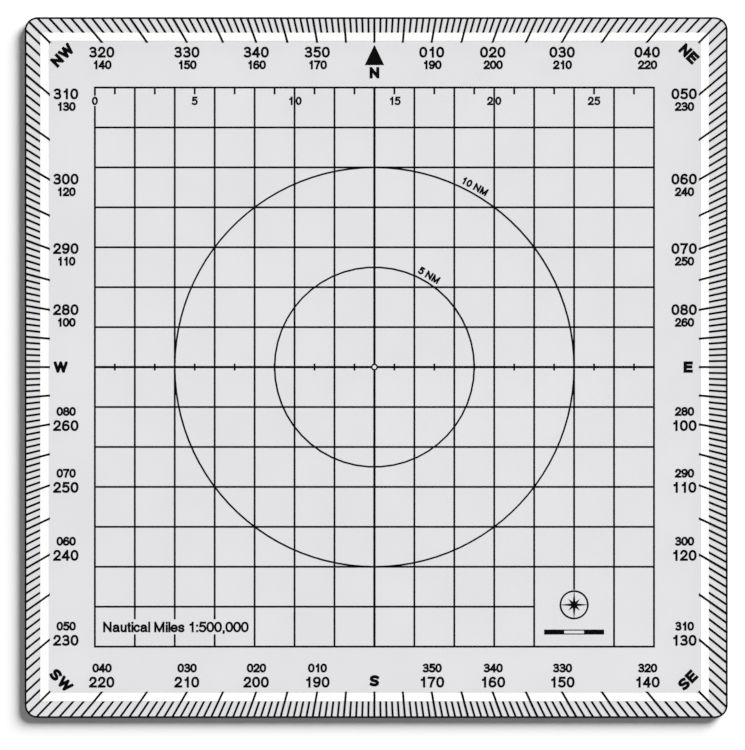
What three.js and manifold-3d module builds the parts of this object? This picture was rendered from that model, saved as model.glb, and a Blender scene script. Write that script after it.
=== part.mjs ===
// A square navigation plotter, the flat kind that is laid on a chart: one clear plastic sheet with
// a 360 degree bearing scale round its edge and a graticule in nautical miles in its middle.
// Millimetres. The sheet lies flat: +X is east, +Y is north and +Z goes up through its thickness.
// The origin is the middle of the sheet's underside.
import * as THREE from 'three';
import { mergeVertices } from 'three/addons/utils/BufferGeometryUtils.js';
import Module from 'manifold-3d';

const wasm = await Module();
wasm.setup();

// ---- driving dimensions ----

const SHEET_WIDTH = 130.4;
const SHEET_HEIGHT = 130;
const SHEET_THICKNESS = 1.5;
const SHEET_CORNER_RADIUS = 2.4;
const SHEET_CORNER_SEGMENTS = 10;

const COAT = 0.03;                      // one coat of printing ink
const INK_CORNER_SEGMENTS = 6;
const FLATNESS = 0.001;                 // points nearer than this to a straight edge are taken out
const PRINT_SHIFT_EAST = -0.32;         // the print lies a little off the middle of the cut sheet
const PRINT_SHIFT_NORTH = 0.1;

const CHART_SCALE = 500000;
const MILE = 1852000 / CHART_SCALE;     // one nautical mile on the chart

const BAND_OUTER = 62;                  // half the white band's outer side
const BAND_INNER = 60.5;
const LONG_TICK_END = 60.2;             // half the square that the long ticks stop at
const TICK_WIDTH = 0.37;
const LONG_TICK_STEP = 5;               // degrees
const OUTLINE_WIDTH = 0.32;

const GRID_MILES = 28;
const CELL_MILES = 2;
const LINE_WIDTH = 0.33;
const AXIS_WIDTH = 0.41;
const MILE_TICK = 1.25;
const RING_WIDTH = 0.31;
const RING_MILES = [5, 10];
const RING_SIDES_PER_MILE = 10;
const CENTRE_RING_RADIUS = 0.65;
const CENTRE_RING_BORE = 0.38;          // the ring is open, so that the chart shows through its middle
const CENTRE_RING_SIDES = 24;

const FIGURE_HEIGHT = 1.58;             // figures along the top of the graticule
const FIGURE_ROW = 49.38;
const FIGURE_STEP_MILES = 5;
const FIGURE_WEIGHT = 0.21;             // stroke width as a part of a letter's height
const FIGURE_TRACKING = 0.05;           // gaps between letters, as parts of their height
const ON_LINE_TRACKING = 0.25;          // the digits of 10 and 20 leave room for the grid line
const RING_LABEL_HEIGHT = 1.43;
const RING_LABEL_WEIGHT = 0.235;
const RING_LABEL_TRACKING = 0.09;
const RING_LABEL_GAP = 0.6;
const RING_LABEL_BEARINGS = { 5: 30.7, 10: 28.9 };
const CARDINAL_HEIGHT = 2.09;
const CARDINAL_PLACE = 58.2;
const NORTH_LETTER_PLACE = 54.6;
const CORNER_LETTER_HEIGHT = 2.13;
const CORNER_LETTER_PLACES = {
  NW: [-57.86, 57.86], NE: [58.34, 58.1], SW: [-58.1, -58.1], SE: [58.1, -58.1],
};
const CORNER_TRACKING = 0.08;
const BOLD = 0.27;
const ARROW_HALF_WIDTH = 1.79;
const ARROW_HEIGHT = 3.76;
const ARROW_BASE = 56.02;
const CAPTION_GAP = { west: -49.9, south: -49.58, east: -22.9, north: -46.78 };

const PANEL_HALF = CELL_MILES * MILE;   // the star and the bar scale have two cells' width to themselves
const PANEL_EAST = 10 * MILE;
const STAR_NORTH = -44.1;
const STAR_RADIUS = 2.7;
const STAR_GAP = 0.1;                   // between the star's ring and the line above it
const STAR_WAIST = 0.22;                // as parts of the radius
const STAR_SHORT_POINT = 0.55;
const STAR_RING_SIDES = 32;
const BAR_SCALE_NORTH = -49.6;
const BAR_SCALE_HEIGHT = 0.9;
const BAR_SCALE_MILES = 3;
const BAR_SCALE_WALL = 0.18;

// ---- materials ----

const clearPlastic = () => new THREE.MeshStandardMaterial({
  color: 0xe3e3e4, roughness: 0.35, metalness: 0, transparent: true, opacity: 0.7,
});
const whiteInk = () => new THREE.MeshStandardMaterial({ color: 0xfdfdfb, roughness: 0.6, metalness: 0 });
const blackInk = () => new THREE.MeshStandardMaterial({ color: 0x0b0b0c, roughness: 0.5, metalness: 0 });

// ---- solids ----

// A closed three.js geometry as a solid that can be joined and cut.
function toSolid(geometry) {
  const bare = geometry.clone();
  bare.deleteAttribute('normal');
  bare.deleteAttribute('uv');
  const merged = mergeVertices(bare, 1e-5);
  return new wasm.Manifold(new wasm.Mesh({
    numProp: 3,
    vertProperties: Float32Array.from(merged.attributes.position.array),
    triVerts: Uint32Array.from(merged.index.array),
  }));
}

// The solid's triangles, with the points left along its straight edges by the joins taken out.
function toGeometry(solid) {
  const { vertProperties, triVerts } = solid.asOriginal().simplify(FLATNESS).getMesh();
  const geometry = new THREE.BufferGeometry();
  geometry.setAttribute('position', new THREE.BufferAttribute(vertProperties, 3));
  geometry.setIndex(new THREE.BufferAttribute(triVerts, 1));
  geometry.computeVertexNormals();
  return geometry;
}

function joined(solids) {
  return solids.reduce((all, solid) => all.add(solid));
}

function plate(shape, depth = COAT, curveSegments = INK_CORNER_SEGMENTS) {
  return toSolid(new THREE.ExtrudeGeometry(shape, { depth, curveSegments, bevelEnabled: false }));
}

// A flat bar between two corners, standing on the print's plane.
function bar(west, south, east, north, depth = COAT) {
  const geometry = new THREE.BoxGeometry(east - west, north - south, depth);
  geometry.translate((west + east) / 2, (south + north) / 2, depth / 2);
  return toSolid(geometry);
}

function squareBar(half, depth) {
  return bar(-half, -half, half, half, depth);
}

function roundedRectangle(width, height, radius, east = 0, north = 0) {
  const shape = new THREE.Shape();
  const right = width / 2 - radius;
  const top = height / 2 - radius;
  shape.absarc(east + right, north + top, radius, 0, Math.PI / 2);
  shape.absarc(east - right, north + top, radius, Math.PI / 2, Math.PI);
  shape.absarc(east - right, north - top, radius, Math.PI, 1.5 * Math.PI);
  shape.absarc(east + right, north - top, radius, 1.5 * Math.PI, 2 * Math.PI);
  return shape;
}

function circlePoints(radius, sides) {
  return Array.from({ length: sides }, (_, i) => {
    const turn = 2 * Math.PI * i / sides;
    return new THREE.Vector2(radius * Math.cos(turn), radius * Math.sin(turn));
  });
}

function disc(radius, sides) {
  return plate(new THREE.Shape(circlePoints(radius, sides)));
}

function annulus(radius, width, sides) {
  const shape = new THREE.Shape(circlePoints(radius + width / 2, sides));
  shape.holes.push(new THREE.Path(circlePoints(radius - width / 2, sides)));
  return plate(shape);
}

// ---- lettering ----

// A point set off sideways from a line's bend, so that the line keeps one width round it.
function offsetPoint(before, at, after, distance) {
  const into = at.clone().sub(before).normalize();
  const out = after.clone().sub(at).normalize();
  const side = new THREE.Vector2(-into.y - out.y, into.x + out.x).normalize();
  const mitre = side.x * -into.y + side.y * into.x;
  return at.clone().addScaledVector(side, distance / mitre);
}

// A pen stroke along a line, in plates that lie on the left and the right of each of its segments.
// Where the line bends so tightly that a side would fold over, that side's plate ends square.
function strokeSolid(points, width, closed) {
  const beyond = (from, to) => to.clone().multiplyScalar(2).sub(from);
  const line = closed
    ? [points.at(-1), ...points, points[0], points[1]]
    : [beyond(points[1], points[0]), ...points, beyond(points.at(-2), points.at(-1))];
  const plates = [];
  for (let i = 1; i < line.length - 2; i += 1) {
    const start = line[i];
    const end = line[i + 1];
    const along = end.clone().sub(start);
    for (const distance of [-width / 2, width / 2]) {
      let near = offsetPoint(line[i - 1], start, end, distance);
      let far = offsetPoint(start, end, line[i + 2], distance);
      if (far.clone().sub(near).dot(along) <= 0) {
        const normal = new THREE.Vector2(-along.y, along.x).setLength(distance);
        near = start.clone().add(normal);
        far = end.clone().add(normal);
      }
      plates.push(plate(new THREE.Shape([start, end, far, near])));
    }
  }
  return joined(plates);
}

// Each letter is drawn in strokes on a unit square that the middle of its strokes fills. A list of
// points is straight, curve is a smooth line through points, and ring is a closed oval.
// width is the letter's width as a part of its height, and shift moves it off the middle.
const FIGURE_WIDTH = 0.71;
const line = (...points) => ({ points });
const curve = (...points) => ({ points, smooth: true });
const LETTERS = {
  N: { width: 0.86, strokes: [line([0, 0], [0, 1], [1, 0], [1, 1])] },
  E: { width: 0.81, strokes: [line([1, 1], [0, 1], [0, 0], [1, 0]), line([0, 0.53], [0.92, 0.53])] },
  S: {
    width: 0.87,
    strokes: [curve([0.96, 0.9], [0.76, 0.98], [0.5, 1], [0.18, 0.96], [0.03, 0.77], [0.18, 0.58],
      [0.5, 0.5], [0.82, 0.42], [0.97, 0.22], [0.8, 0.04], [0.5, 0], [0.24, 0.02], [0.02, 0.1])],
  },
  W: { width: 1.25, strokes: [line([0, 1], [0.25, 0], [0.5, 1], [0.75, 0], [1, 1])] },
  M: { width: 0.94, strokes: [line([0, 0], [0, 1], [0.5, 0], [1, 1], [1, 0])] },
  0: { width: FIGURE_WIDTH, strokes: [{ ring: true }] },
  1: { width: 0.4, shift: 0.05, strokes: [line([1, 0], [1, 1]), line([0, 0.76], [0.7, 0.8], [1, 1])] },
  2: {
    width: FIGURE_WIDTH,
    strokes: [line([0, 0], [1, 0]), curve([0.02, 0.68], [0.14, 0.92], [0.5, 1], [0.88, 0.9],
      [0.96, 0.66], [0.72, 0.38], [0.3, 0.2], [0.04, 0])],
  },
  5: {
    width: FIGURE_WIDTH,
    strokes: [line([0.18, 1], [0.92, 1]), line([0.18, 1], [0.1, 0.58]),
      curve([0.22, 0.6], [0.5, 0.66], [0.86, 0.56], [1, 0.33], [0.84, 0.07], [0.5, 0], [0.22, 0.03],
        [0.02, 0.1])],
  },
  ' ': { width: 0.2 },
};
const RING_POINTS = 16;
const CURVE_POINTS = 14;

function strokePoints(stroke) {
  if (stroke.ring) {
    return Array.from({ length: RING_POINTS }, (_, i) => {
      const turn = 2 * Math.PI * i / RING_POINTS;
      return new THREE.Vector2(0.5 + Math.cos(turn) / 2, 0.5 + Math.sin(turn) / 2);
    });
  }
  const points = stroke.points.map(([x, y]) => new THREE.Vector2(x, y));
  return stroke.smooth ? new THREE.SplineCurve(points).getPoints(CURVE_POINTS) : points;
}

// One letter as a solid film centred on its own origin. Its strokes run half a width past their
// ends, and the letter's own box cuts them off square.
function letterSolid(sign, height, weight) {
  const { width: proportion, shift = 0, strokes } = LETTERS[sign];
  const width = proportion * height;
  const pen = weight * height;
  const place = ({ x, y }) => new THREE.Vector2((x - 0.5) * (width - pen), (y - 0.5) * (height - pen));
  const solids = strokes.map((stroke) => {
    const points = strokePoints(stroke).map(place);
    if (stroke.ring) {
      return strokeSolid(points, pen, true);
    }
    const first = points[0].clone().sub(points[1]).setLength(pen / 2).add(points[0]);
    const last = points.at(-1).clone().sub(points.at(-2)).setLength(pen / 2).add(points.at(-1));
    return strokeSolid([first, ...points.slice(1, -1), last], pen, false);
  });
  const box = bar(-width / 2, -height / 2, width / 2, height / 2);
  return joined(solids).intersect(box).translate([shift * height, 0, 0]);
}

// ---- assembly ----

const plotter = new THREE.Group();
const print = new THREE.Group();
print.position.set(PRINT_SHIFT_EAST, PRINT_SHIFT_NORTH, SHEET_THICKNESS);
plotter.add(print);

function addMesh(parent, name, geometry, material) {
  const mesh = new THREE.Mesh(geometry, material);
  mesh.name = name;
  parent.add(mesh);
  return mesh;
}

function addPrint(name, solid, material = blackInk()) {
  return addMesh(print, name, toGeometry(solid), material);
}

// A word set in letters side by side, each a mesh of its own, turned about the word's middle.
function addWord(names, signs, height, weight, tracking, east, north, turn = 0) {
  const advances = [...signs].map((sign) => (
    (/\d/.test(sign) ? FIGURE_WIDTH : LETTERS[sign].width) * height + tracking * height));
  let along = -advances.reduce((sum, advance) => sum + advance, 0) / 2;
  [...signs].forEach((sign, i) => {
    const middle = along + advances[i] / 2;
    along += advances[i];
    if (sign === ' ') {
      return;
    }
    const mesh = addPrint(names[i], letterSolid(sign, height, weight));
    mesh.position.set(east + middle * Math.cos(turn), north + middle * Math.sin(turn), 0);
    mesh.rotation.z = turn;
  });
}

function addSheet() {
  const outline = roundedRectangle(SHEET_WIDTH, SHEET_HEIGHT, SHEET_CORNER_RADIUS);
  const sheet = plate(outline, SHEET_THICKNESS, SHEET_CORNER_SEGMENTS);
  addMesh(plotter, 'clear_sheet', toGeometry(sheet), clearPlastic());
}

function whiteBand(depth) {
  return squareBar(BAND_OUTER, depth).subtract(squareBar(BAND_INNER, depth));
}

// The line round the sheet's edge and the 360 ticks that point from it to the print's middle. Every
// fifth tick is long: it is printed over the white band, so it is two coats high and cut by it.
function degreeScale() {
  const outline = roundedRectangle(SHEET_WIDTH, SHEET_HEIGHT, SHEET_CORNER_RADIUS,
    -PRINT_SHIFT_EAST, -PRINT_SHIFT_NORTH);
  const inside = roundedRectangle(SHEET_WIDTH - 2 * OUTLINE_WIDTH, SHEET_HEIGHT - 2 * OUTLINE_WIDTH,
    SHEET_CORNER_RADIUS - OUTLINE_WIDTH, -PRINT_SHIFT_EAST, -PRINT_SHIFT_NORTH);
  const frame = plate(outline).subtract(plate(inside));
  const inner = BAND_INNER - LINE_WIDTH;
  const ticks = (wanted, height) => joined(Array.from({ length: 360 }, (_, degree) => degree)
    .filter(wanted)
    .map((degree) => {
      const strip = new THREE.BoxGeometry(TICK_WIDTH, SHEET_WIDTH - inner, height);
      strip.translate(0, (SHEET_WIDTH + inner) / 2, height / 2);
      strip.rotateZ(-THREE.MathUtils.degToRad(degree));
      return toSolid(strip);
    }))
    .intersect(plate(outline, height));
  const isLong = (degree) => degree % LONG_TICK_STEP === 0;
  const short = ticks((degree) => !isLong(degree), COAT).subtract(squareBar(BAND_OUTER, COAT));
  const long = ticks(isLong, 2 * COAT).subtract(squareBar(LONG_TICK_END, 2 * COAT));
  return joined([frame, short, long]).subtract(whiteBand(COAT));
}

// Grid, range rings, mile ticks and the small ring at the middle, as one connected coat.
function graticule() {
  const half = GRID_MILES / 2 * MILE;
  const parts = [];
  for (let mile = -GRID_MILES / 2; mile <= GRID_MILES / 2; mile += CELL_MILES) {
    const width = mile === 0 ? AXIS_WIDTH : LINE_WIDTH;
    const at = mile * MILE;
    const end = half + LINE_WIDTH / 2;
    parts.push(bar(at - width / 2, -end, at + width / 2, end));
    parts.push(bar(-end, at - width / 2, end, at + width / 2));
  }
  for (let mile = -GRID_MILES / 2 + 1; mile < GRID_MILES / 2; mile += CELL_MILES) {
    const west = mile * MILE - LINE_WIDTH / 2;
    const east = mile * MILE + LINE_WIDTH / 2;
    parts.push(bar(west, half - MILE_TICK, east, half));
    parts.push(bar(west, -MILE_TICK / 2, east, MILE_TICK / 2));
  }
  for (const miles of RING_MILES) {
    parts.push(annulus(miles * MILE, RING_WIDTH, miles * RING_SIDES_PER_MILE));
  }
  parts.push(disc(CENTRE_RING_RADIUS, CENTRE_RING_SIDES));
  const inset = LINE_WIDTH / 2;
  const panelWest = PANEL_EAST - PANEL_HALF + inset;
  const panelEast = PANEL_EAST + PANEL_HALF;
  const starTop = STAR_NORTH + STAR_RADIUS + STAR_GAP;
  const gaps = [
    disc(CENTRE_RING_BORE, CENTRE_RING_SIDES),
    figureGap(-half),
    bar(CAPTION_GAP.west, CAPTION_GAP.south, CAPTION_GAP.east, CAPTION_GAP.north),
    bar(panelWest, -half + inset, panelEast - inset, starTop),
    bar(panelEast + inset, -half + inset, half - inset, starTop),
  ];
  return joined(parts).subtract(joined(gaps));
}

// The west line stops above the figure 0 and goes on below it.
function figureGap(east) {
  const half = FIGURE_HEIGHT / 2 + LINE_WIDTH / 2;
  return bar(east - LINE_WIDTH, FIGURE_ROW - half, east + LINE_WIDTH, FIGURE_ROW + half);
}

function northArrow() {
  const corners = [[-ARROW_HALF_WIDTH, 0], [ARROW_HALF_WIDTH, 0], [0, ARROW_HEIGHT]];
  const arrow = new THREE.Shape(corners.map(([x, y]) => new THREE.Vector2(x, y)));
  return plate(arrow).translate([0, ARROW_BASE, 0]);
}

// A plain eight-pointed compass star whose long points reach the ring round it.
function compassStar() {
  const waist = STAR_WAIST * STAR_RADIUS;
  const radii = [STAR_RADIUS, waist, STAR_SHORT_POINT * STAR_RADIUS, waist];
  const points = circlePoints(1, 4 * radii.length).map((point, i) => (
    point.multiplyScalar(radii[i % radii.length])));
  return plate(new THREE.Shape(points))
    .add(annulus(STAR_RADIUS - RING_WIDTH / 2, RING_WIDTH, STAR_RING_SIDES))
    .translate([PANEL_EAST, STAR_NORTH, 0]);
}

// A filled mile, an open one and another filled one.
function barScale() {
  const west = PANEL_EAST - BAR_SCALE_MILES / 2 * MILE;
  const top = BAR_SCALE_NORTH + BAR_SCALE_HEIGHT;
  const whole = bar(west, BAR_SCALE_NORTH, west + BAR_SCALE_MILES * MILE, top);
  const open = bar(west + MILE, BAR_SCALE_NORTH + BAR_SCALE_WALL, west + 2 * MILE, top - BAR_SCALE_WALL);
  return whole.subtract(open);
}

// The letters at the middles of the four sides and, turned to face outwards, at the corners.
function addCompassLetters() {
  const sides = { north: ['N', 0, NORTH_LETTER_PLACE], east: ['E', CARDINAL_PLACE, 0],
    south: ['S', 0, -CARDINAL_PLACE], west: ['W', -CARDINAL_PLACE, 0] };
  for (const [side, [sign, east, north]] of Object.entries(sides)) {
    addWord([`letter_${side}`], sign, CARDINAL_HEIGHT, BOLD, 0, east, north);
  }
  const corners = { NW: 'northwest', NE: 'northeast', SW: 'southwest', SE: 'southeast' };
  for (const [signs, corner] of Object.entries(corners)) {
    const names = [...signs].map((sign) => `${corner}_${sign.toLowerCase()}`);
    const [east, north] = CORNER_LETTER_PLACES[signs];
    addWord(names, signs, CORNER_LETTER_HEIGHT, BOLD, CORNER_TRACKING, east, north,
      -Math.sign(east * north) * Math.PI / 4);
  }
}

// Figures every five miles along the top of the graticule, and the labels of the two range rings.
function addFigures() {
  for (let mile = 0; mile < GRID_MILES; mile += FIGURE_STEP_MILES) {
    const signs = String(mile);
    const names = [...signs].map((_, i) => `scale_${signs}_figure_${i + 1}`);
    const tracking = mile % CELL_MILES === 0 ? ON_LINE_TRACKING : FIGURE_TRACKING;
    addWord(names, signs, FIGURE_HEIGHT, FIGURE_WEIGHT, tracking,
      (mile - GRID_MILES / 2) * MILE, FIGURE_ROW);
  }
  for (const miles of RING_MILES) {
    const signs = `${miles} NM`;
    const names = [...signs].map((sign) => `ring_${miles}_label_${sign.toLowerCase()}`);
    const radius = miles * MILE + RING_LABEL_GAP + RING_LABEL_HEIGHT / 2;
    const bearing = THREE.MathUtils.degToRad(RING_LABEL_BEARINGS[miles]);
    addWord(names, signs, RING_LABEL_HEIGHT, RING_LABEL_WEIGHT, RING_LABEL_TRACKING,
      radius * Math.sin(bearing), radius * Math.cos(bearing), -bearing);
  }
}

addSheet();
addPrint('white_band', whiteBand(COAT), whiteInk());
addPrint('degree_scale', degreeScale());
addPrint('graticule', graticule());
addPrint('north_arrow', northArrow());
addPrint('compass_star', compassStar());
addPrint('bar_scale', barScale());
addCompassLetters();
addFigures();

export default plotter;
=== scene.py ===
"""A square navigation plotter: a frosted clear sheet, screen printed with bearings and a chart grid.

Run as a script. It builds the finished look round the fixed frame of the engineering model: the sheet
with its worked edges, the printing inks, the figures of the bearing scale and the chart-scale caption,
then a plain studio to see it in. Lengths are metres, with sizes written in millimetres times MM.
"""

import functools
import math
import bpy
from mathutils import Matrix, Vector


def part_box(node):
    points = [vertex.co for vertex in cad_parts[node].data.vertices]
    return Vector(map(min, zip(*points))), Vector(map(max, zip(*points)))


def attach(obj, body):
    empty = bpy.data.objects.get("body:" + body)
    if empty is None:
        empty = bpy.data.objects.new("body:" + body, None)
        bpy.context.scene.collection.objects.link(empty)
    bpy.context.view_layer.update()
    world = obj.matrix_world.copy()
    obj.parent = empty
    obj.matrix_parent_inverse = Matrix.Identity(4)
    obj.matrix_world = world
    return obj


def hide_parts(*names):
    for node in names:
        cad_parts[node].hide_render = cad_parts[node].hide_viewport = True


bl_info = {
    "name": "Square Navigation Plotter",
    "version": (1, 0, 0),
    "blender": (4, 5, 0),
    "location": "View3D > Sidebar > Plotter",
    "description": "Builds a square chart plotter with its printing and a plain studio",
    "category": "Object",
}

import bmesh
import bpy
from mathutils import Matrix, Vector
from mathutils.geometry import delaunay_2d_cdt

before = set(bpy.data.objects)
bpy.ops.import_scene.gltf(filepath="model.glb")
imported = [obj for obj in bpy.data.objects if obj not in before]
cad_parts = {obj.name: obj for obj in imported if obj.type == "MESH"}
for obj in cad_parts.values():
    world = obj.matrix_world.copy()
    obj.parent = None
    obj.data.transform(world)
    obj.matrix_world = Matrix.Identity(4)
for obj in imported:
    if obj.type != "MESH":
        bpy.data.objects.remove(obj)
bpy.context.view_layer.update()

MM = 0.001                              # metres
BODY = "root"                           # the one body of a thing without joints

# Places taken from the frame.
SHEET_LOW, SHEET_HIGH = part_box("clear_sheet")
BAND_LOW, BAND_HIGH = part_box("white_band")
GRID_LOW, GRID_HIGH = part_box("graticule")
PRINT_CENTRE = (BAND_LOW + BAND_HIGH) / 2
SHEET_TOP = SHEET_HIGH.z
COAT = BAND_HIGH.z - SHEET_TOP
BAND_HALF = (BAND_HIGH.x - BAND_LOW.x) / 2

# The sheet.
CORNER_RADIUS = 2.4 * MM
PLACES_PER_CORNER = 16                  # points round each corner
ARRIS_STEPS = 4                         # facets across each rounded edge

# The figures. A weight is the pen's width, and tracking is added to the space of each sign, both as
# parts of a capital's height.
LABEL_OFFSETS = (-40, -30, -20, -10, 10, 20, 30, 40)   # degrees from the middle of each side
BEARING_WEIGHT = 0.2
RECIPROCAL_WEIGHT = 0.225
RECIPROCAL_TRACKING = -0.085
CAPTION = "Nautical Miles 1:500,000"
CAPTION_WEIGHT = 0.19
CAPTION_TRACKING = -0.064
ROW_FAN = BAND_HALF - 1.7 * MM          # the figures are spread as their ticks are this far out
COLUMN_FAN = BAND_HALF - 1.6 * MM
NORTH_ROW = 58.42 * MM                  # middles of the large figures, from the print's middle
SOUTH_ROW = 58.44 * MM
EAST_COLUMN = 57.45 * MM
WEST_COLUMN = 57.25 * MM
GAP_BELOW = 2.35 * MM                   # from a large figure to the small one below or above it
GAP_ABOVE = 2.62 * MM
# How far the side columns' large figures in the lower half sit below their ticks' line, by offset.
LOW_DROPS = {10: 0.2 * MM, 20: 0.33 * MM, 30: 0.05 * MM, 40: 0}
CAPTION_INDENT = 1.5 * MM               # from the grid's lower left corner
CAPTION_RISE = 2.83 * MM

# The studio.
FLOOR_RADIUS = 12.0
FLOOR_SIDES = 64
FLOOR_DRIFT = 0.4                       # how wide the drifts in its shade are, in metres
FLOOR_GAP = 0.02 * MM                   # so that the table and the sheet's underside don't meet
LIGHT_BEARING = 45                      # degrees clockwise from north
LIGHT_ELEVATION = 31
LIGHT_SPREAD = 32                       # how wide the soft light looks from the table, in degrees
LIGHT_STRENGTH = 5.75
HORIZON_GLOW = 0.55                     # the tent's brightness low down and overhead
CEILING_GLOW = 0.08
HORIZON_TOP = 0.3                       # heights where one starts to give way to the other, and ends
CEILING_START = 0.8
FRAME_TALL = 139.12 * MM                # what the picture takes in, top to bottom
LENS = 200.0
SENSOR = 36.0
AIM_WEST = 0.37 * MM                    # the picture's middle, from the print's middle
AIM_SOUTH = 1.48 * MM


# ---- colours and materials ----

def srgb(code):
    """A six-digit hex colour as linear red, green, blue and a full alpha."""
    values = [int(code[i:i + 2], 16) / 255 for i in (0, 2, 4)]
    linear = [v / 12.92 if v <= 0.04045 else ((v + 0.055) / 1.055) ** 2.4 for v in values]
    return (*linear, 1.0)


def scaled(colour, factor):
    """The same colour lighter or darker."""
    return (*[min(1, value * factor) for value in colour[:3]], 1.0)


def add_node(tree, kind, links=None, values=None, **settings):
    """Adds a node with its settings, its plain input values and the sockets that feed its inputs."""
    node = tree.nodes.new(kind)
    for name, value in settings.items():
        setattr(node, name, value)
    for socket, value in (values or {}).items():
        node.inputs[socket].default_value = value
    for socket, source in (links or {}).items():
        tree.links.new(source, node.inputs[socket])
    return node


def new_material(name):
    """An empty node material, with its tree and the place (in metres) that its patterns are drawn in."""
    material = bpy.data.materials.new(name)
    material.use_nodes = True
    tree = material.node_tree
    tree.nodes.clear()
    place = add_node(tree, "ShaderNodeTexCoord").outputs["Object"]
    return material, tree, place


# Nearly all of a noise's values lie in this span, so it is what a pattern is stretched from.
NOISE_SPAN = {"From Min": 0.3, "From Max": 0.7}


def blotches(tree, place, size, detail=2.0, stretch=(1, 1, 1)):
    """Soft noise whose patches are about size metres across. stretch lengthens them along an axis."""
    drawn_at = add_node(tree, "ShaderNodeMapping", {"Vector": place},
                        {"Scale": [1 / factor for factor in stretch]})
    noise = add_node(tree, "ShaderNodeTexNoise", {"Vector": drawn_at.outputs["Vector"]},
                     {"Scale": 1 / size, "Detail": detail, "Roughness": 0.55})
    return noise.outputs["Fac"]


def drifting_colour(tree, pattern, first, second):
    """A colour that drifts from first to second as a noise rises."""
    rise = add_node(tree, "ShaderNodeMapRange", {"Value": pattern}, NOISE_SPAN)
    mix = add_node(tree, "ShaderNodeMix", {"Factor": rise.outputs["Result"]}, {"A": first, "B": second},
                   data_type="RGBA")
    return mix.outputs["Result"]


def finish_material(tree, colour, sheen, relief, depth, **constants):
    """Joins a material's colour and patterns to its shader.

    sheen is a noise and the roughness where it is low and where it is high. relief is the pattern of
    the surface's height, and depth is how deep it goes.
    """
    pattern, smooth, rough = sheen
    roughness = add_node(tree, "ShaderNodeMapRange", {"Value": pattern},
                         {**NOISE_SPAN, "To Min": smooth, "To Max": rough})
    bump = add_node(tree, "ShaderNodeBump", {"Height": relief}, {"Strength": 1.0, "Distance": depth})
    shader = add_node(tree, "ShaderNodeBsdfPrincipled",
                      {"Base Color": colour, "Roughness": roughness.outputs["Result"],
                       "Normal": bump.outputs["Normal"]},
                      {name.replace("_", " "): value for name, value in constants.items()})
    add_node(tree, "ShaderNodeOutputMaterial", {"Surface": shader.outputs["BSDF"]})


def frosted_plastic(colour):
    """Frosted vinyl sheet, calendered between matt rollers.

    The rollers leave a fine grain that spreads highlights into a soft sheen, faint clouds where the
    sheet is a little thicker, and long shallow hairlines from being slid over charts.
    """
    material, tree, place = new_material("Frosted Vinyl, Calendered")
    clouds = blotches(tree, place, 22 * MM, 3.0)
    shade = drifting_colour(tree, clouds, scaled(colour, 0.985), scaled(colour, 1.012))
    # The real grain is about 0.05 mm. It is drawn at 0.3 mm so that it shows.
    grain = blotches(tree, place, 0.3 * MM)
    # Hairlines are noise drawn out 60 times along X, and only its few highest streaks are used.
    streaks = blotches(tree, place, 0.25 * MM, 1.0, (60, 1, 1))
    hairlines = add_node(tree, "ShaderNodeMapRange", {"Value": streaks},
                         {"From Min": 0.66, "From Max": 0.74}).outputs["Result"]
    relief = add_node(tree, "ShaderNodeMath", {0: hairlines, 1: grain, 2: grain},
                      operation="MULTIPLY_ADD").outputs["Value"]
    polish = blotches(tree, place, 6 * MM)
    finish_material(tree, shade, (polish, 0.34, 0.46), relief, 0.004 * MM, IOR=1.54, Alpha=0.84)
    return material


def cut_edge_plastic(colour):
    """The same vinyl where the sheet was routed to size.

    The cutter leaves fine upright lines. Light that has crossed the whole sheet comes out there, so the
    edge looks a shade darker and duller than the faces. That darkness is painted shade in the edge's
    colour, which also keeps its sunlit side from glaring white against the table.
    """
    material, tree, place = new_material("Frosted Vinyl, Routed Edge")
    # The cutter's marks are about 0.1 mm apart. They are drawn at 0.4 mm so that they show.
    marks = blotches(tree, place, 0.4 * MM, stretch=(1, 1, 30))
    # Painted shade: the edge is coloured a third to a half as bright as the faces, drifting with the
    # cutter's marks.
    shade = drifting_colour(tree, marks, scaled(colour, 0.34), scaled(colour, 0.5))
    finish_material(tree, shade, (marks, 0.42, 0.6), marks, 0.02 * MM, IOR=1.54)
    return material


def screen_ink(name, colour, second, smooth, rough):
    """Solvent printing ink pushed through a fine mesh and air dried.

    The mesh leaves a faint even grain in the coat, and the coat is a little uneven in depth, so its
    colour and its sheen drift slightly, from colour to second and from smooth to rough.
    """
    material, tree, place = new_material(name)
    thickness = blotches(tree, place, 3 * MM, 3.0)
    shade = drifting_colour(tree, thickness, colour, second)
    # A printing mesh has about 10 threads a millimetre. Its grain is drawn at 0.25 mm so that it shows.
    grain = blotches(tree, place, 0.25 * MM, 1.0)
    finish_material(tree, shade, (grain, smooth, rough), grain, 0.006 * MM,
                    IOR=1.5, Specular_IOR_Level=0.15)
    return material


def black_ink():
    """The one black ink of the scales, the grid and the lettering, made when it is first needed."""
    name = "Vinyl Ink, Screen Printed Black"
    made = bpy.data.materials.get(name)
    colour = bpy.context.scene.plotter_colours.black_ink
    return made or screen_ink(name, colour, srgb("060607"), 0.28, 0.4)


# ---- user settings ----

def length(name, text, millimetres):
    """A size that a user may set."""
    return bpy.props.FloatProperty(name=name, description=text, default=millimetres * MM, min=0.0,
                                   subtype="DISTANCE", unit="LENGTH", precision=5)


def colour_setting(name, text, code):
    """A colour that a user may set, by default the hex code."""
    return bpy.props.FloatVectorProperty(name=name, description=text, default=srgb(code), size=4,
                                         min=0.0, max=1.0, subtype="COLOR")


class PlotterSizes(bpy.types.PropertyGroup):
    """Sizes that a user may change without moving the frame."""
    top_arris: length("Top Arris", "Rounding of the printed face's edge", 0.03)
    under_arris: length("Under Arris", "Rounding of the underside's edge", 0.18)
    bearing_height: length("Bearing Height", "Height of the large bearing figures", 2.02)
    reciprocal_height: length("Reciprocal Height", "Height of the small bearing figures", 1.66)
    caption_height: length("Caption Height", "Height of the chart-scale caption's capitals", 1.96)


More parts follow.
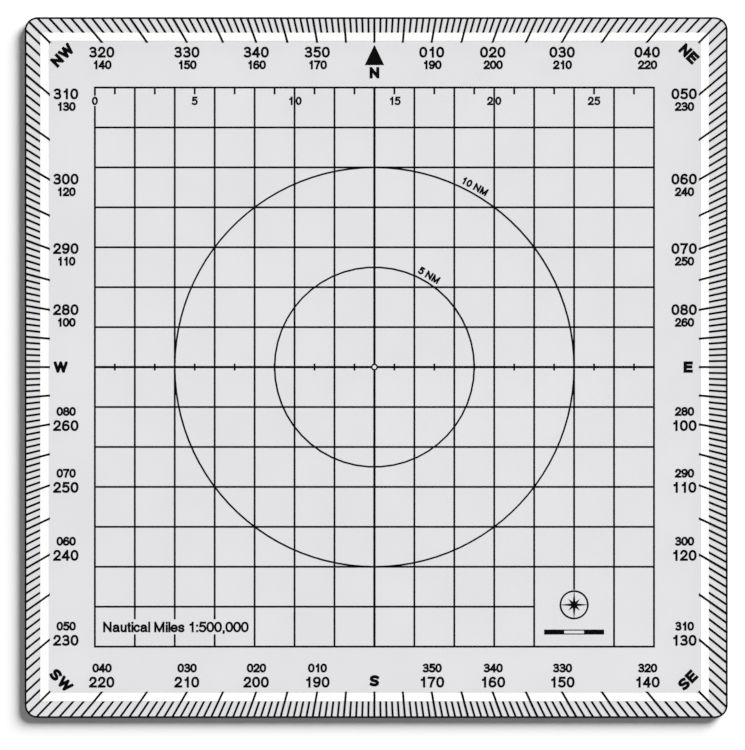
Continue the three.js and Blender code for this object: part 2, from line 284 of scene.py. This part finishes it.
class PlotterColours(bpy.types.PropertyGroup):
    """Colours of the sheet, the inks and the studio."""
    sheet: colour_setting("Sheet", "Frosted plastic", "E4E4E6")
    black_ink: colour_setting("Black Ink", "Scales, grid and lettering", "020202")
    white_ink: colour_setting("White Ink", "Band inside the degree ticks", "F4F4F2")
    floor: colour_setting("Floor", "Table under the plotter", "F0F0F0")


# ---- mesh helpers ----

def finish_piece(name, bm, materials, replaced=()):
    """Turns a bmesh into a named piece that rides on the plotter's one body."""
    mesh = bpy.data.meshes.new(name)
    bm.to_mesh(mesh)
    bm.free()
    for material in materials:
        mesh.materials.append(material)
    piece = bpy.data.objects.new(name, mesh)
    bpy.context.scene.collection.objects.link(piece)
    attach(piece, BODY)
    if replaced:
        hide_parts(*replaced)
    return piece


def rounded_square(inset, z):
    """A loop of points round the sheet, inset from its edge, at height z."""
    low = SHEET_LOW + Vector((CORNER_RADIUS, CORNER_RADIUS, 0))
    high = SHEET_HIGH - Vector((CORNER_RADIUS, CORNER_RADIUS, 0))
    corners = [(high.x, high.y), (low.x, high.y), (low.x, low.y), (high.x, low.y)]
    radius = CORNER_RADIUS - inset
    loop = []
    for quarter, (x, y) in enumerate(corners):
        for step in range(PLACES_PER_CORNER):
            turn = math.pi / 2 * (quarter + step / (PLACES_PER_CORNER - 1))
            loop.append(Vector((x + radius * math.cos(turn), y + radius * math.sin(turn), z)))
    return loop


def arris(radius, z, way):
    """Loops round a quarter-round edge of that radius, from a face at height z to the side.

    way is 1 under a top face and -1 over an underside.
    """
    loops = []
    for step in range(ARRIS_STEPS + 1):
        turn = math.pi / 2 * step / ARRIS_STEPS
        inset = radius * (1 - math.sin(turn))
        loops.append(rounded_square(inset, z - way * radius * (1 - math.cos(turn))))
    return loops


# ---- lettering ----

# A sign is drawn in pen strokes on a unit square that the middle of the pen covers. "line" goes
# straight from point to point, "curve" smoothly through its points, and "oval" is centre and radii.
# Widths and bearings are parts of a capital's height: (left bearing, width, advance, height).
BOWL = ((0.02, 0.3), (0.03, 0.55), (0.12, 0.8), (0.3, 0.95), (0.56, 1), (0.78, 0.97), (0.89, 0.9))
SIGNS = {
    "0": ((0.035, 0.73, 0.8, 1), [("oval", (0.5, 0.5), (0.5, 0.5))]),
    "1": ((0.175, 0.4, 0.755, 1), [
        ("line", (1, 0), (1, 1)),
        ("curve", (0, 0.755), (0.5, 0.79), (0.84, 0.9), (0.98, 1.06))]),
    "2": ((0.04, 0.72, 0.8, 1), [
        ("curve", (0.05, 0.74), (0.22, 0.96), (0.5, 1), (0.78, 0.96), (0.95, 0.82), (0.94, 0.63),
         (0.78, 0.46), (0.5, 0.31), (0.2, 0.15), (0.04, -0.04)),
        ("line", (0, 0), (1, 0))]),
    "3": ((0.04, 0.72, 0.8, 1), [
        ("curve", (0.1, 0.89), (0.27, 0.98), (0.5, 1), (0.73, 0.97), (0.9, 0.86), (0.9, 0.69),
         (0.76, 0.57), (0.56, 0.53), (0.38, 0.53)),
        ("curve", (0.38, 0.53), (0.6, 0.53), (0.86, 0.46), (1, 0.28), (0.93, 0.1), (0.74, 0.02),
         (0.5, 0), (0.25, 0.015), (0.06, 0.1))]),
    "4": ((0.025, 0.735, 0.8, 1), [
        ("line", (0.76, 0), (0.76, 1)),
        ("line", (0, 0.26), (1, 0.26)),
        ("line", (0.05, 0.34), (0.68, 0.96))]),
    "5": ((0.04, 0.72, 0.8, 1), [
        ("line", (0.2, 1), (0.94, 1)),
        ("line", (0.2, 1), (0.1, 0.58)),
        ("curve", (0.22, 0.59), (0.52, 0.65), (0.82, 0.57), (0.99, 0.37), (0.95, 0.16), (0.76, 0.02),
         (0.5, 0), (0.24, 0.02), (0.03, 0.12))]),
    "6": ((0.04, 0.72, 0.8, 1), [("oval", (0.5, 0.29), (0.5, 0.29)), ("curve", *BOWL)]),
    "7": ((0.04, 0.72, 0.8, 1), [
        ("line", (0, 1), (1, 1)),
        ("curve", (0.98, 0.98), (0.72, 0.68), (0.5, 0.36), (0.38, 0))]),
    "8": ((0.04, 0.72, 0.8, 1), [
        ("oval", (0.5, 0.765), (0.43, 0.235)),
        ("oval", (0.5, 0.265), (0.5, 0.265))]),
    "9": ((0.04, 0.72, 0.8, 1), [
        ("oval", (0.5, 0.71), (0.5, 0.29)),
        ("curve", *[(1 - x, 1 - y) for x, y in BOWL])]),
    "N": ((0.106, 0.794, 1.006, 1), [("line", (0, 0), (0, 1), (1, 0), (1, 1))]),
    "M": ((0.102, 0.958, 1.16, 1), [("line", (0, 0), (0, 1), (0.5, 0), (1, 1), (1, 0))]),
    "a": ((0.05, 0.7, 0.774, 0.74), [
        ("curve", (0.08, 0.8), (0.2, 0.95), (0.45, 1), (0.76, 0.93), (0.86, 0.72), (0.86, 0.4),
         (0.87, 0.1), (1, 0)),
        ("curve", (0.86, 0.6), (0.5, 0.55), (0.16, 0.49), (0, 0.26), (0.12, 0.05), (0.38, 0),
         (0.68, 0.1), (0.86, 0.34))]),
    "u": ((0.095, 0.586, 0.774, 0.73), [
        ("curve", (0, 1), (0, 0.6), (0, 0.3), (0.12, 0.07), (0.42, 0), (0.78, 0.09), (1, 0.36)),
        ("line", (1, 0), (1, 1))]),
    "t": ((0.02, 0.35, 0.387, 0.93), [
        ("curve", (0.45, 1), (0.45, 0.6), (0.45, 0.2), (0.6, 0.02), (1, 0.01)),
        ("line", (0, 0.75), (0.95, 0.75))]),
    "i": ((0.093, 0.13, 0.309, 1), [("line", (0.5, 0), (0.5, 0.66)), ("line", (0.5, 0.97), (0.5, 1))]),
    "c": ((0.042, 0.623, 0.696, 0.74), [
        ("curve", (0.94, 0.82), (0.78, 0.96), (0.5, 1), (0.15, 0.88), (0, 0.5), (0.15, 0.12), (0.5, 0),
         (0.8, 0.05), (0.96, 0.2))]),
    "l": ((0.093, 0.13, 0.309, 1), [("line", (0.5, 0), (0.5, 1))]),
    "e": ((0.05, 0.68, 0.774, 0.74), [
        ("line", (0, 0.5), (1, 0.5)),
        ("curve", (1, 0.46), (0.97, 0.72), (0.78, 0.94), (0.5, 1), (0.16, 0.88), (0, 0.5), (0.16, 0.12),
         (0.5, 0), (0.78, 0.05), (0.95, 0.19))]),
    "s": ((0.035, 0.64, 0.696, 0.74), [
        ("curve", (0.94, 0.82), (0.78, 0.97), (0.5, 1), (0.18, 0.94), (0.05, 0.75), (0.2, 0.57),
         (0.5, 0.5), (0.84, 0.41), (0.98, 0.23), (0.82, 0.04), (0.5, 0), (0.2, 0.04), (0.04, 0.18))]),
    ":": ((0.121, 0.145, 0.387, 0.73), [
        ("line", (0.5, 0), (0.5, 0.02)),
        ("line", (0.5, 0.98), (0.5, 1))]),
    ",": ((0.09, 0.21, 0.387, 0.35), [("line", (0.9, 0), (0.9, 0.02)), ("line", (0.9, 0.02), (0.1, -0.9))]),
    " ": ((0, 0, 0.387, 1), []),
}
CURVE_STEPS = 5                         # straight bits between two points of a curve
OVAL_STEPS = 36
OVAL_SQUARENESS = 2.25                  # 2 is an ellipse; more fills its corners
DESCENT = 0.17                          # how far a comma drops below the line
WELD = 0.0001                           # points nearer than this are one, as a part of a sign's height
LEAST_AREA = 0.00001                    # slivers smaller than this are left out
FLAT_BEND = math.radians(1)             # a line bent less than this is straight
FILL_FACES = 1                          # asks for triangles inside the given polygons only


def smooth_points(points):
    """Points of a smooth line through the given ones."""
    ends = [2 * points[0] - points[1]] + points + [2 * points[-1] - points[-2]]
    line = []
    for before, start, end, after in zip(ends, ends[1:], ends[2:], ends[3:]):
        for step in range(CURVE_STEPS):
            t = step / CURVE_STEPS
            line.append(0.5 * (2 * start + (end - before) * t
                               + (2 * before - 5 * start + 4 * end - after) * t ** 2
                               + (3 * start - before - 3 * end + after) * t ** 3))
    return line + [points[-1]]


def oval_points(centre, radii):
    """Points round an oval a little squarer than an ellipse."""
    def reach(value):
        return math.copysign(abs(value) ** (2 / OVAL_SQUARENESS), value)

    turns = [2 * math.pi * step / OVAL_STEPS for step in range(OVAL_STEPS)]
    across, up = radii
    return [Vector(centre) + Vector((across * reach(math.cos(turn)), up * reach(math.sin(turn))))
            for turn in turns]


def side_point(before, point, after, distance):
    """A point set off sideways from a line's bend, so that the stroke keeps one width round it."""
    inward = (point - before).normalized()
    onward = (after - point).normalized()
    side = Vector((-inward.y - onward.y, inward.x + onward.x)).normalized()
    return point + side * distance / side.dot(Vector((-inward.y, inward.x)))


def stroke_polygons(line, closed, half):
    """Convex polygons on the left and the right of each piece of a pen stroke along a line."""
    if closed:
        line = [line[-1], *line, line[0], line[1]]
    else:
        first = line[0] + (line[0] - line[1]).normalized() * half
        last = line[-1] + (line[-1] - line[-2]).normalized() * half
        line = [2 * first - line[1], first, *line[1:-1], last, 2 * last - line[-2]]
    polygons = []
    for before, start, end, after in zip(line, line[1:], line[2:], line[3:]):
        along = end - start
        for distance in (half, -half):
            near = side_point(before, start, end, distance)
            far = side_point(start, end, after, distance)
            if (far - near).dot(along) <= 0:
                square = Vector((-along.y, along.x)).normalized() * distance
                near, far = start + square, end + square
            polygon = [start, end, far, near]
            polygons.append(polygon if distance > 0 else polygon[::-1])
    return polygons


def cut_to_box(polygon, low, high):
    """A convex polygon clipped to an upright box."""
    for axis in (0, 1):
        for limit, sign in ((low[axis], 1), (high[axis], -1)):
            kept = []
            for start, end in zip(polygon, polygon[1:] + polygon[:1]):
                inside_start = sign * (start[axis] - limit) >= 0
                inside_end = sign * (end[axis] - limit) >= 0
                if inside_start:
                    kept.append(start)
                if inside_start != inside_end:
                    share = (limit - start[axis]) / (end[axis] - start[axis])
                    kept.append(start.lerp(end, share))
            polygon = kept
    return polygon


def area(polygon):
    """A flat polygon's area."""
    return abs(sum(start.cross(end) for start, end in zip(polygon, polygon[1:] + polygon[:1]))) / 2


@functools.cache
def draw_sign(sign, weight):
    """(points, triangles) of one sign, a capital high, with a pen weight as a part of that height."""
    (bearing, width, _, height), strokes = SIGNS[sign]
    width = max(width, weight)
    low = Vector((bearing, -DESCENT if sign == "," else 0))
    high = Vector((bearing + width, height))
    span = Vector((width - weight, height - weight))
    corner = Vector((bearing + weight / 2, weight / 2))
    polygons = []
    for kind, *points in strokes:
        if kind == "oval":
            line = oval_points(*points)
        else:
            line = [Vector(point) for point in points]
        line = [corner + Vector((point.x * span.x, point.y * span.y)) for point in line]
        if kind == "curve":
            line = smooth_points(line)
        for polygon in stroke_polygons(line, kind == "oval", weight / 2):
            polygons.append(cut_to_box(polygon, low, high))
    return united([polygon for polygon in polygons if area(polygon) > LEAST_AREA])


def united(polygons):
    """(points, triangles) of the area that flat polygons cover together, with no needless points."""
    points, faces = [], []
    for polygon in polygons:
        faces.append(list(range(len(points), len(points) + len(polygon))))
        points += polygon
    points, _, faces, _, _, origins = delaunay_2d_cdt(points, [], faces, FILL_FACES, WELD, True)
    bm = bmesh.new()
    verts = [bm.verts.new((*point, 0)) for point in points]
    for face, covered_by in zip(faces, origins):
        if covered_by:
            bm.faces.new([verts[i] for i in face])
    bm.normal_update()
    bmesh.ops.dissolve_limit(bm, angle_limit=FLAT_BEND, verts=bm.verts, edges=bm.edges)
    bmesh.ops.delete(bm, geom=[vert for vert in bm.verts if not vert.link_faces], context="VERTS")
    bmesh.ops.triangulate(bm, faces=bm.faces, ngon_method="EAR_CLIP")
    bm.verts.index_update()
    result = [vert.co.xy for vert in bm.verts], [[vert.index for vert in face.verts] for face in bm.faces]
    bm.free()
    return result


def word_width(word, tracking):
    """A word's length, its signs' side bearings included, as a part of a capital's height."""
    return sum(SIGNS[sign][0][2] + tracking for sign in word)


def print_word(bm, word, height, weight, middle, tracking=0):
    """Adds a word's film of ink to a bmesh, centred on middle. tracking spaces its signs out."""
    pen = -word_width(word, tracking) / 2
    for sign in word:
        if SIGNS[sign][1]:
            points, triangles = draw_sign(sign, weight)
            place = [Vector((middle.x + (pen + point.x) * height, middle.y + (point.y - 0.5) * height))
                     for point in points]
            add_film(bm, place, triangles)
        pen += SIGNS[sign][0][2] + tracking


def add_film(bm, points, triangles):
    """A flat coat of ink over triangles, with its walls and its underside."""
    top = [bm.verts.new((point.x, point.y, SHEET_TOP + COAT)) for point in points]
    base = [bm.verts.new((point.x, point.y, SHEET_TOP)) for point in points]
    edges = [edge for a, b, c in triangles for edge in ((a, b), (b, c), (c, a))]
    for triangle in triangles:
        bm.faces.new([top[i] for i in triangle])
        bm.faces.new([base[i] for i in reversed(triangle)])
    for a, b in set(edges) - {(b, a) for a, b in edges}:
        bm.faces.new((top[b], top[a], base[a], base[b]))


# ---- operators ----

class PLOTTER_OT_dress_frame(bpy.types.Operator):
    """Give the printed marks that come with the frame their inks"""
    bl_idname = "plotter.dress_frame"
    bl_label = "Dress Frame"

    def execute(self, context):
        black = black_ink()
        white = screen_ink("Vinyl Ink, Screen Printed White", context.scene.plotter_colours.white_ink,
                           srgb("F0F0EE"), 0.5, 0.62)
        for name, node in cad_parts.items():
            if name == "clear_sheet":
                continue                    # the finished sheet takes its place
            node.data.materials.clear()
            node.data.materials.append(white if name == "white_band" else black)
        return {"FINISHED"}


class PLOTTER_OT_make_sheet(bpy.types.Operator):
    """Make the plastic sheet with its eased edges and routed sides"""
    bl_idname = "plotter.make_sheet"
    bl_label = "Make Sheet"

    def execute(self, context):
        sizes = context.scene.plotter_sizes
        colours = context.scene.plotter_colours
        if sizes.under_arris + sizes.top_arris > SHEET_TOP - SHEET_LOW.z:
            raise ValueError("The two rounded edges are deeper than the sheet is thick")
        bm = bmesh.new()
        loops = arris(sizes.under_arris, SHEET_LOW.z, -1) + arris(sizes.top_arris, SHEET_TOP, 1)[::-1]
        rings = [[bm.verts.new(point) for point in loop] for loop in loops]
        bm.faces.new(reversed(rings[0]))
        bm.faces.new(rings[-1])
        for ring, following in zip(rings, rings[1:]):
            for i, vert in enumerate(ring):
                face = bm.faces.new((ring[i - 1], vert, following[i], following[i - 1]))
                face.smooth = True
                face.material_index = 1
        finish_piece("plotter_sheet", bm,
                     [frosted_plastic(colours.sheet), cut_edge_plastic(colours.sheet)], ["clear_sheet"])
        return {"FINISHED"}


class PLOTTER_OT_print_bearings(bpy.types.Operator):
    """Print the bearing figures on the four sides, with the small reciprocal figures beside them"""
    bl_idname = "plotter.print_bearings"
    bl_label = "Print Bearings"

    def execute(self, context):
        sizes = context.scene.plotter_sizes
        ink = black_ink()
        for side, middle_bearing in (("north", 0), ("east", 90), ("south", 180), ("west", 270)):
            large, small = bmesh.new(), bmesh.new()
            for offset in LABEL_OFFSETS:
                bearing = (middle_bearing + offset) % 360
                place, other = label_places(side, offset)
                print_word(large, f"{bearing:03d}", sizes.bearing_height, BEARING_WEIGHT, place)
                reciprocal = (bearing + 180) % 360
                print_word(small, f"{reciprocal:03d}", sizes.reciprocal_height, RECIPROCAL_WEIGHT, other,
                           RECIPROCAL_TRACKING)
            finish_piece(f"{side}_bearing_figures", large, [ink])
            finish_piece(f"{side}_reciprocal_figures", small, [ink])
        return {"FINISHED"}


def label_places(side, offset):
    """Middles of a bearing's large figure and its small one, offset degrees from the side's middle."""
    fan = ROW_FAN if side in ("north", "south") else COLUMN_FAN
    along = fan * math.tan(math.radians(offset))
    large = Vector({"north": (along, NORTH_ROW), "east": (EAST_COLUMN, -along),
                    "south": (-along, -SOUTH_ROW), "west": (-WEST_COLUMN, along)}[side])
    step = -GAP_BELOW if large.y > 0 else GAP_ABOVE
    if side in ("east", "west") and large.y < 0:
        large.y -= LOW_DROPS[abs(offset)]
    large += PRINT_CENTRE.xy
    return large, large + Vector((0, step))


class PLOTTER_OT_print_caption(bpy.types.Operator):
    """Print the chart scale in the lower left cells of the grid"""
    bl_idname = "plotter.print_caption"
    bl_label = "Print Caption"

    def execute(self, context):
        height = context.scene.plotter_sizes.caption_height
        half_long = word_width(CAPTION, CAPTION_TRACKING) * height / 2
        middle = GRID_LOW.xy + Vector((CAPTION_INDENT + half_long, CAPTION_RISE + height / 2))
        bm = bmesh.new()
        print_word(bm, CAPTION, height, CAPTION_WEIGHT, middle, CAPTION_TRACKING)
        finish_piece("chart_scale_caption", bm, [black_ink()])
        return {"FINISHED"}


class PLOTTER_OT_make_stage(bpy.types.Operator):
    """Make the table, the soft light and the camera"""
    bl_idname = "plotter.make_stage"
    bl_label = "Make Stage"

    def execute(self, context):
        scene = context.scene
        scene.view_settings.view_transform = "Standard"
        make_floor(scene.plotter_colours.floor)
        make_light()
        make_world()
        make_camera()
        return {"FINISHED"}


def make_floor(colour):
    """A wide plain table, matt painted, with a drift in its shade too faint to notice."""
    bm = bmesh.new()
    bmesh.ops.create_circle(bm, cap_ends=True, radius=FLOOR_RADIUS, segments=FLOOR_SIDES)
    bmesh.ops.translate(bm, verts=bm.verts[:], vec=(0, 0, SHEET_LOW.z - FLOOR_GAP))
    mesh = bpy.data.meshes.new("floor")
    bm.to_mesh(mesh)
    bm.free()
    material, tree, place = new_material("Table, Matt Painted")
    shade = drifting_colour(tree, blotches(tree, place, FLOOR_DRIFT), colour, scaled(colour, 0.99))
    shader = add_node(tree, "ShaderNodeBsdfPrincipled", {"Base Color": shade},
                      {"Roughness": 0.9, "Specular IOR Level": 0.0})
    add_node(tree, "ShaderNodeOutputMaterial", {"Surface": shader.outputs["BSDF"]})
    mesh.materials.append(material)
    floor = bpy.data.objects.new("floor", mesh)
    bpy.context.scene.collection.objects.link(floor)


def make_light():
    """One large soft light, high in the north-east."""
    data = bpy.data.lights.new("soft_light", "SUN")
    data.energy = LIGHT_STRENGTH
    data.angle = math.radians(LIGHT_SPREAD)
    light = bpy.data.objects.new("soft_light", data)
    tilt = math.radians(90 - LIGHT_ELEVATION)
    light.rotation_euler = (Matrix.Rotation(-math.radians(LIGHT_BEARING), 3, "Z")
                            @ Matrix.Rotation(-tilt, 3, "X")).to_euler()
    bpy.context.scene.collection.objects.link(light)


def make_world():
    """A dim ceiling over a bright horizon, as in a tent of pale cloth."""
    world = bpy.data.worlds.new("studio")
    world.use_nodes = True
    bpy.context.scene.world = world
    tree = world.node_tree
    tree.nodes.clear()
    way = add_node(tree, "ShaderNodeTexCoord").outputs["Generated"]
    height = add_node(tree, "ShaderNodeSeparateXYZ", {"Vector": way}).outputs["Z"]
    glow = add_node(tree, "ShaderNodeMapRange", {"Value": height},
                    {"From Min": HORIZON_TOP, "From Max": CEILING_START,
                     "To Min": HORIZON_GLOW, "To Max": CEILING_GLOW})
    background = add_node(tree, "ShaderNodeBackground", {"Strength": glow.outputs["Result"]},
                          {"Color": (1, 1, 1, 1)})
    add_node(tree, "ShaderNodeOutputWorld", {"Surface": background.outputs["Background"]})


def make_camera():
    """A long lens straight above, so that the sheet is seen square on."""
    data = bpy.data.cameras.new("camera")
    data.lens = LENS
    data.sensor_width = SENSOR
    camera = bpy.data.objects.new("camera", data)
    above = FRAME_TALL * LENS / SENSOR
    camera.location = (PRINT_CENTRE.x - AIM_WEST, PRINT_CENTRE.y - AIM_SOUTH, SHEET_TOP + COAT + above)
    bpy.context.scene.collection.objects.link(camera)
    bpy.context.scene.camera = camera


# ---- panel and registration ----

class PLOTTER_PT_panel(bpy.types.Panel):
    """Lists the steps and the settings"""
    bl_label = "Square Plotter"
    bl_idname = "PLOTTER_PT_panel"
    bl_space_type = "VIEW_3D"
    bl_region_type = "UI"
    bl_category = "Plotter"

    def draw(self, context):
        layout = self.layout
        for group in (context.scene.plotter_sizes, context.scene.plotter_colours):
            for name in group.__annotations__:
                layout.prop(group, name)
        for operator in OPERATORS:
            layout.operator(operator.bl_idname)


OPERATORS = (PLOTTER_OT_make_stage, PLOTTER_OT_dress_frame, PLOTTER_OT_make_sheet,
             PLOTTER_OT_print_bearings, PLOTTER_OT_print_caption)
CLASSES = (PlotterSizes, PlotterColours, *OPERATORS, PLOTTER_PT_panel)


def register():
    """Adds the classes, and the settings to the scene."""
    for cls in CLASSES:
        bpy.utils.register_class(cls)
    bpy.types.Scene.plotter_sizes = bpy.props.PointerProperty(type=PlotterSizes)
    bpy.types.Scene.plotter_colours = bpy.props.PointerProperty(type=PlotterColours)


def unregister():
    """Takes them away again."""
    del bpy.types.Scene.plotter_colours
    del bpy.types.Scene.plotter_sizes
    for cls in reversed(CLASSES):
        bpy.utils.unregister_class(cls)


def main():
    """Makes everything."""
    register()
    for operator in OPERATORS:
        group, name = operator.bl_idname.split(".")
        getattr(getattr(bpy.ops, group), name)()


if __name__ == "__main__":
    main()
